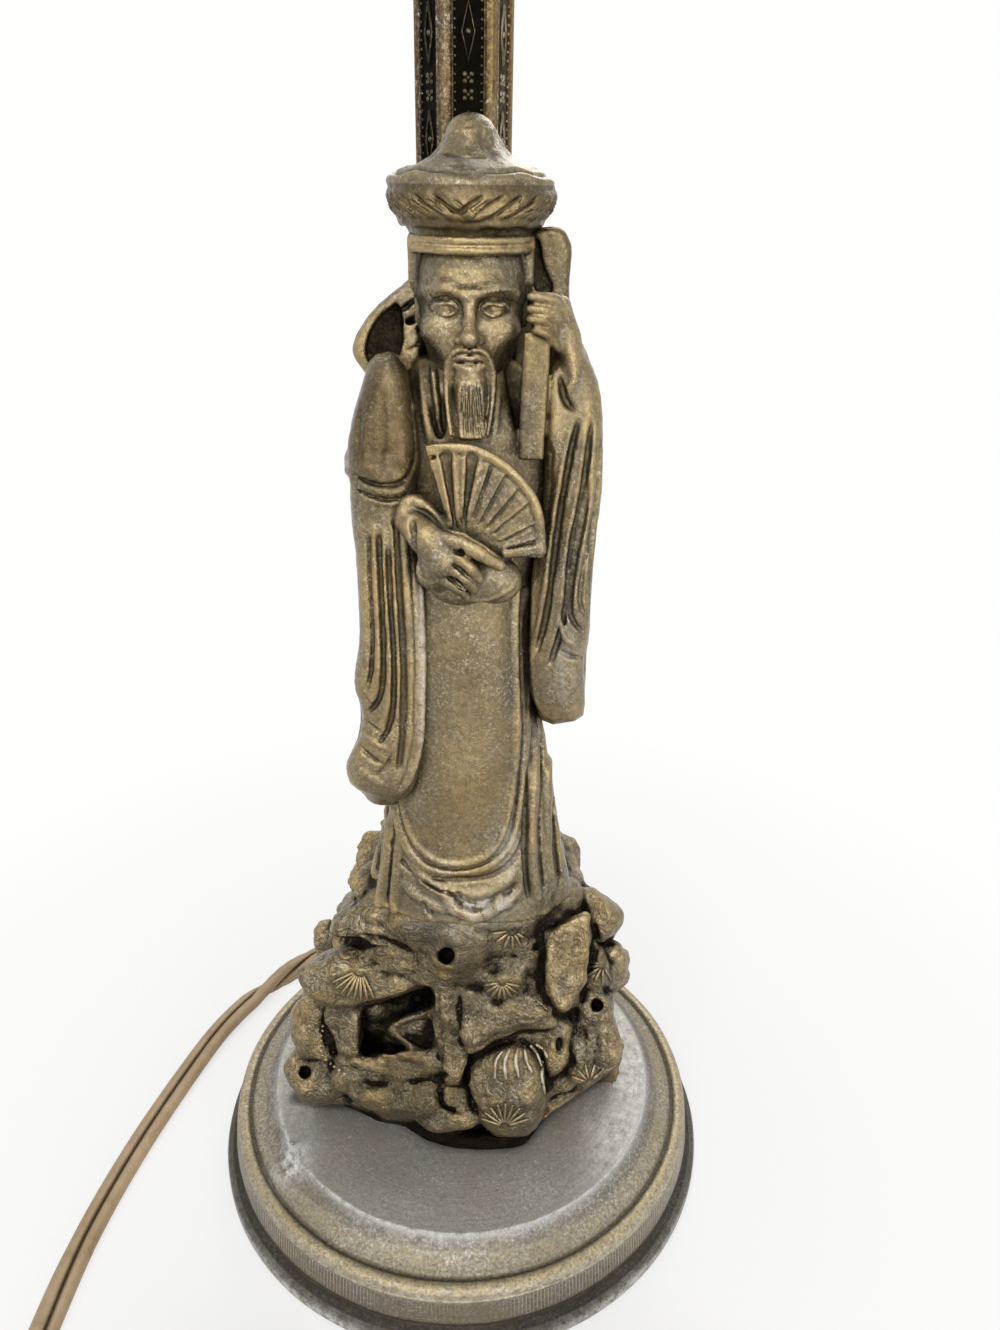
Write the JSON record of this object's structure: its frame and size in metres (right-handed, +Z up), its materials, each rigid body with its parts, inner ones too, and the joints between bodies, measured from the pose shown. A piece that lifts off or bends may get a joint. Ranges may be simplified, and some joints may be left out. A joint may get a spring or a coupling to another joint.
{
  "type": "figural table lamp",
  "caption": "Table lamp with a round spun base, a rockwork plinth, a cast robed figure with a folding fan, a hexagonal column and a screw socket with a turn switch.",
  "frame": {"origin": "centre of the base's underside, on the table", "axes": "+Z up along the column, -Y towards the figure's front, +X to the viewer's right when facing the front"},
  "size_m": [0.17, 0.2946, 0.4154],
  "materials": {
    "spun_brass": "spun sheet brass, antiqued, olive gold on the side and grey on the top",
    "cast_spelter": "cast spelter with a dark brown wash and rubbed gold highlights",
    "column_brass": "rolled brass tube, ornamented and antiqued dark",
    "turned_brass": "turned brass, lightly tarnished",
    "socket_brass": "drawn brass sheet, satin",
    "steel": "zinc-plated steel",
    "weight_iron": "rough grey cast iron",
    "felt": "pressed wool felt, dark green",
    "liner_board": "pressed insulating board",
    "socket_moulding": "dark moulded insulator",
    "contact_brass": "stamped spring brass",
    "knob_plastic": "dark moulded knob",
    "cord_vinyl": "tan two-core flexible cord, slightly dirty",
    "plug_vinyl": "tan moulded plug"
  },
  "bodies": {
    "lamp": {"base_shell": "spun_brass", "felt_pad": "felt", "base_weight": "weight_iron", "pipe_washer": "steel", "pipe_nut": "steel", "lamp_pipe": "steel", "plinth_screws": "steel", "figure_screw": "steel", "cord_grommet": "plug_vinyl", "inner_cord": "cord_vinyl", "relief_cores": "cord_vinyl", "rock_casting": "cast_spelter", "robe_casting": "cast_spelter", "fan_arm_casting": "cast_spelter", "raised_arm_casting": "cast_spelter", "fan_casting": "cast_spelter", "head_casting": "cast_spelter", "hat_casting": "cast_spelter", "bundle_casting": "cast_spelter", "column_tube": "column_brass", "column_foot": "turned_brass", "column_cap": "turned_brass", "neck_ring": "turned_brass", "socket_cap": "socket_brass", "cap_set_screw": "steel", "socket_shell": "socket_brass", "shell_liner": "liner_board", "socket_body": "socket_moulding", "screw_shell": "contact_brass", "centre_contact": "contact_brass", "terminal_screws": "contact_brass", "mains_cord": "cord_vinyl", "cord_coil": "cord_vinyl", "plug_body": "plug_vinyl", "plug_blades": "contact_brass"},
    "switch": {"switch_rotor": "knob_plastic", "switch_shaft": "turned_brass", "switch_knob": "knob_plastic"}
  },
  "joints": [
    {"name": "switch_turn", "type": "hinge", "parent": "lamp", "child": "switch", "pos_m": [0.02, 0.009, 0.3834], "axis": [1, 0, 0], "continuous": true}
  ]
}
